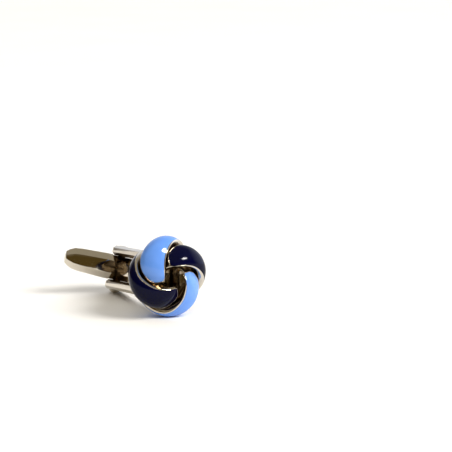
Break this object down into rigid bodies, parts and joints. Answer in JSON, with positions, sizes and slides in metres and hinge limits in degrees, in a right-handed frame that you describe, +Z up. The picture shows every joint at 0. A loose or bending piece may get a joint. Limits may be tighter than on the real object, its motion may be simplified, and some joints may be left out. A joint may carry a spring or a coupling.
{
  "type": "enamelled knot cufflink",
  "caption": "Domed knot of enamelled bands on a two-armed yoke, with a bullet-shaped toggle that swivels on a riveted pin to fasten a cuff.",
  "frame": {"origin": "on the surface that the cufflink lies on, under the centre of its box", "axes": "+Z up from the surface; the knot's face looks along -Y and slightly up; the toggle lies roughly along X at the +Y end"},
  "size_m": [0.0172, 0.0237, 0.0121],
  "materials": {
    "plated_metal": "bright nickel-like plating, polished",
    "light_blue_enamel": "glossy light blue enamel",
    "navy_enamel": "glossy navy enamel"
  },
  "bodies": {
    "knot": {"knot_body": "plated_metal", "enamel_light_1": "light_blue_enamel", "enamel_navy_1": "navy_enamel", "enamel_light_2": "light_blue_enamel", "enamel_navy_2": "navy_enamel", "yoke": "plated_metal", "pivot_pin": "plated_metal"},
    "toggle": {"toggle": "plated_metal"}
  },
  "joints": [
    {"name": "toggle_pivot", "type": "hinge", "parent": "knot", "child": "toggle", "pos_m": [0, 0.0098, 0.00373], "axis": [-0.3018, -0.106, -0.9475], "range_deg": [-6, 84]}
  ]
}
